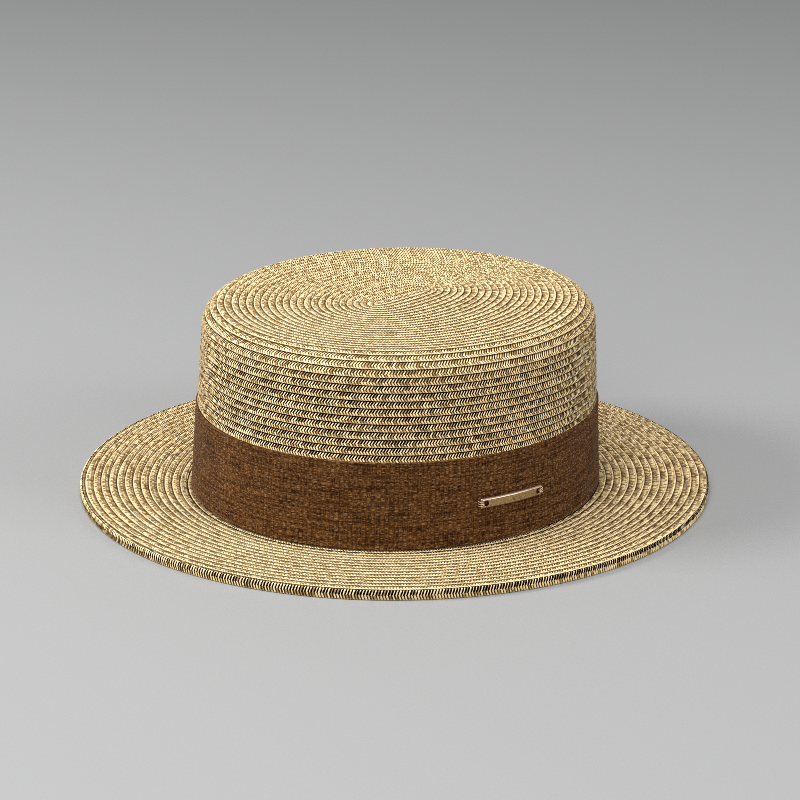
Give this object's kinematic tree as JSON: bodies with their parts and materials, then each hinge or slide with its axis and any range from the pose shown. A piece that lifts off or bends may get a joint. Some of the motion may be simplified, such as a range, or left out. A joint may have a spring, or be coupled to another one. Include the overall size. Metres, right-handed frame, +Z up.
{
  "type": "straw boater hat",
  "caption": "Straw boater hat: flat-topped oval crown and flat brim of sewn braid, a plain ribbon band and a small bare metal plate.",
  "frame": {"origin": "middle of the oval that the hat rests on, at the height of the surface under it", "axes": "+Z up out of the tip, -Y towards the hat's front, +X towards the wearer's left, where the plate is"},
  "size_m": [0.2804, 0.2984, 0.0891],
  "materials": {
    "pale_straw": "sewn paper-straw braid, pale gold with brown gaps, dry with a slight sheen",
    "brown_ribbon": "matt linen-look woven ribbon with slubs",
    "pale_gold": "satin rose gold"
  },
  "bodies": {
    "root": {"crown": "pale_straw", "brim": "pale_straw", "brim_edge": "pale_straw", "band": "brown_ribbon", "band_lap": "brown_ribbon", "plate": "pale_gold"}
  },
  "joints": []
}
